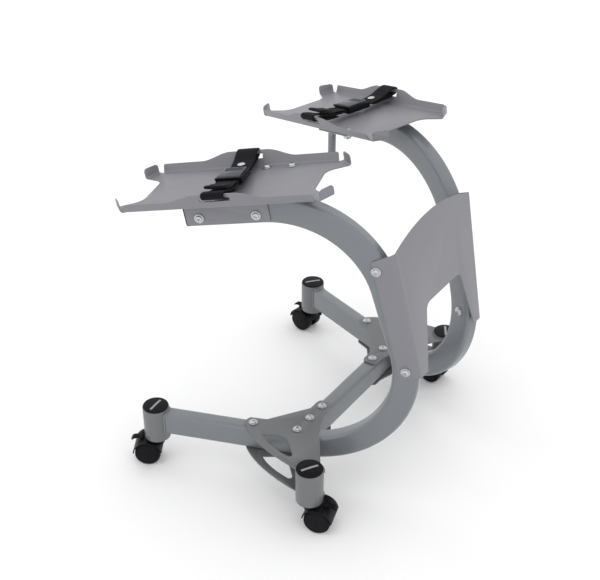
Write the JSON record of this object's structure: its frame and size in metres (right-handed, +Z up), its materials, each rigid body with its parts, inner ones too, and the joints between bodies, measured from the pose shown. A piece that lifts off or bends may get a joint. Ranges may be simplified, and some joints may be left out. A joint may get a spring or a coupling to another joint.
{
  "type": "dumbbell stand",
  "caption": "Rolling stand: two toed-in steel C tubes, each with a tray and strap for an adjustable dumbbell, a rear panel and braked twin-wheel casters.",
  "frame": {"origin": "on the ground, under the middle of the stand's bounding box", "axes": "+Z up, +Y to the rear where the panel is, +X to the right-hand tray as the user in front sees it; the stand is longest along X and shortest along Y"},
  "size_m": [0.6646, 0.5328, 0.6504],
  "materials": {
    "tube_paint": "smooth satin-gloss silver-grey powder coat",
    "plate_paint": "satin mid-grey powder coat",
    "sheet_paint": "satin warm-grey powder coat on sheet steel",
    "zinc": "bright zinc plate",
    "cap_plastic": "black moulded plastic, satin",
    "caster_plastic": "black moulded nylon, satin",
    "wheel_plastic": "black nylon wheel with a smooth disc face",
    "webbing": "black woven polyester webbing",
    "buckle_plastic": "black moulded plastic",
    "lever_plastic": "dark grey moulded plastic, satin"
  },
  "bodies": {
    "stand": {"side_tube_right": "tube_paint", "side_tube_left": "tube_paint", "cross_tube": "tube_paint", "tube_end_plug_right": "cap_plastic", "tube_end_plug_left": "cap_plastic", "gusset_top_plate_right": "plate_paint", "gusset_top_plate_left": "plate_paint", "gusset_bottom_plate_right": "plate_paint", "gusset_bottom_plate_left": "plate_paint", "rear_panel": "sheet_paint", "caster_socket_front_right": "tube_paint", "caster_socket_front_left": "tube_paint", "socket_cap_front_right": "cap_plastic", "socket_cap_front_left": "cap_plastic", "caster_socket_rear_right": "tube_paint", "caster_socket_rear_left": "tube_paint", "socket_cap_rear_right": "cap_plastic", "socket_cap_rear_left": "cap_plastic", "gusset_bolt_1_right": "zinc", "gusset_bolt_1_left": "zinc", "gusset_bolt_2_right": "zinc", "gusset_bolt_2_left": "zinc", "gusset_bolt_3_right": "zinc", "gusset_bolt_3_left": "zinc", "gusset_bolt_4_right": "zinc", "gusset_bolt_4_left": "zinc", "bracket_bolt_1_right": "zinc", "bracket_bolt_1_left": "zinc", "bracket_bolt_2_right": "zinc", "bracket_bolt_2_left": "zinc", "tray_right": "sheet_paint", "tray_left": "sheet_paint", "tray_bracket_right": "sheet_paint", "tray_bracket_left": "sheet_paint", "tray_post_right": "tube_paint", "tray_post_left": "tube_paint", "strap_right": "webbing", "strap_left": "webbing", "strap_rivet_right": "zinc", "strap_rivet_left": "zinc", "buckle_body_right": "buckle_plastic", "buckle_body_left": "buckle_plastic"},
    "caster_front_right": {"caster_hood_front_right": "caster_plastic"},
    "wheel_a_front_right": {"caster_wheel_a_front_right": "wheel_plastic"},
    "wheel_b_front_right": {"caster_wheel_b_front_right": "wheel_plastic"},
    "brake_front_right": {"brake_lever_front_right": "caster_plastic"},
    "caster_rear_right": {"caster_hood_rear_right": "caster_plastic"},
    "wheel_a_rear_right": {"caster_wheel_a_rear_right": "wheel_plastic"},
    "wheel_b_rear_right": {"caster_wheel_b_rear_right": "wheel_plastic"},
    "brake_rear_right": {"brake_lever_rear_right": "caster_plastic"},
    "caster_front_left": {"caster_hood_front_left": "caster_plastic"},
    "wheel_a_front_left": {"caster_wheel_a_front_left": "wheel_plastic"},
    "wheel_b_front_left": {"caster_wheel_b_front_left": "wheel_plastic"},
    "brake_front_left": {"brake_lever_front_left": "caster_plastic"},
    "caster_rear_left": {"caster_hood_rear_left": "caster_plastic"},
    "wheel_a_rear_left": {"caster_wheel_a_rear_left": "wheel_plastic"},
    "wheel_b_rear_left": {"caster_wheel_b_rear_left": "wheel_plastic"},
    "brake_rear_left": {"brake_lever_rear_left": "caster_plastic"},
    "buckle_lever_right": {"buckle_lever_right": "lever_plastic"},
    "buckle_lever_left": {"buckle_lever_left": "lever_plastic"}
  },
  "joints": [
    {"name": "swivel_front_right", "type": "hinge", "parent": "stand", "child": "caster_front_right", "pos_m": [0.275, -0.21129, 0.09], "axis": [0, 0, 1], "continuous": true},
    {"name": "roll_a_front_right", "type": "hinge", "parent": "caster_front_right", "child": "wheel_a_front_right", "pos_m": [0.2856, -0.22825, 0.025], "axis": [0.848, 0.5299, 0], "continuous": true},
    {"name": "roll_b_front_right", "type": "hinge", "parent": "caster_front_right", "child": "wheel_b_front_right", "pos_m": [0.2856, -0.22825, 0.025], "axis": [0.848, 0.5299, 0], "continuous": true},
    {"name": "brake_front_right", "type": "hinge", "parent": "caster_front_right", "child": "brake_front_right", "pos_m": [0.29143, -0.23758, 0.0546], "axis": [0.848, 0.5299, 0], "range_deg": [0, 12]},
    {"name": "swivel_rear_right", "type": "hinge", "parent": "stand", "child": "caster_rear_right", "pos_m": [0.262, 0.13271, 0.09], "axis": [0, 0, 1], "continuous": true},
    {"name": "roll_a_rear_right", "type": "hinge", "parent": "caster_rear_right", "child": "wheel_a_rear_right", "pos_m": [0.25649, 0.15193, 0.025], "axis": [-0.9613, -0.2756, 0], "continuous": true},
    {"name": "roll_b_rear_right", "type": "hinge", "parent": "caster_rear_right", "child": "wheel_b_rear_right", "pos_m": [0.25649, 0.15193, 0.025], "axis": [-0.9613, -0.2756, 0], "continuous": true},
    {"name": "brake_rear_right", "type": "hinge", "parent": "caster_rear_right", "child": "brake_rear_right", "pos_m": [0.25345, 0.16251, 0.0546], "axis": [-0.9613, -0.2756, 0], "range_deg": [0, 12]},
    {"name": "swivel_front_left", "type": "hinge", "parent": "stand", "child": "caster_front_left", "pos_m": [-0.275, -0.21129, 0.09], "axis": [0, 0, 1], "continuous": true},
    {"name": "roll_a_front_left", "type": "hinge", "parent": "caster_front_left", "child": "wheel_a_front_left", "pos_m": [-0.27778, -0.2311, 0.025], "axis": [0.9903, -0.1392, 0], "continuous": true},
    {"name": "roll_b_front_left", "type": "hinge", "parent": "caster_front_left", "child": "wheel_b_front_left", "pos_m": [-0.27778, -0.2311, 0.025], "axis": [0.9903, -0.1392, 0], "continuous": true},
    {"name": "brake_front_left", "type": "hinge", "parent": "caster_front_left", "child": "brake_front_left", "pos_m": [-0.27931, -0.24199, 0.0546], "axis": [0.9903, -0.1392, 0], "range_deg": [0, 12]},
    {"name": "swivel_rear_left", "type": "hinge", "parent": "stand", "child": "caster_rear_left", "pos_m": [-0.262, 0.13271, 0.09], "axis": [0, 0, 1], "continuous": true},
    {"name": "roll_a_rear_left", "type": "hinge", "parent": "caster_rear_left", "child": "wheel_a_rear_left", "pos_m": [-0.26374, 0.11279, 0.025], "axis": [0.9962, -0.0872, 0], "continuous": true},
    {"name": "roll_b_rear_left", "type": "hinge", "parent": "caster_rear_left", "child": "wheel_b_rear_left", "pos_m": [-0.26374, 0.11279, 0.025], "axis": [0.9962, -0.0872, 0], "continuous": true},
    {"name": "brake_rear_left", "type": "hinge", "parent": "caster_rear_left", "child": "brake_rear_left", "pos_m": [-0.2647, 0.10183, 0.0546], "axis": [0.9962, -0.0872, 0], "range_deg": [0, 12]},
    {"name": "buckle_right", "type": "hinge", "parent": "stand", "child": "buckle_lever_right", "pos_m": [0.20287, -0.0688, 0.61713], "axis": [-0.3364, 0.9243, 0.1805], "range_deg": [0, 80]},
    {"name": "buckle_left", "type": "hinge", "parent": "stand", "child": "buckle_lever_left", "pos_m": [-0.17462, -0.07878, 0.61558], "axis": [0.3364, 0.9243, 0.1805], "range_deg": [0, 80]}
  ]
}
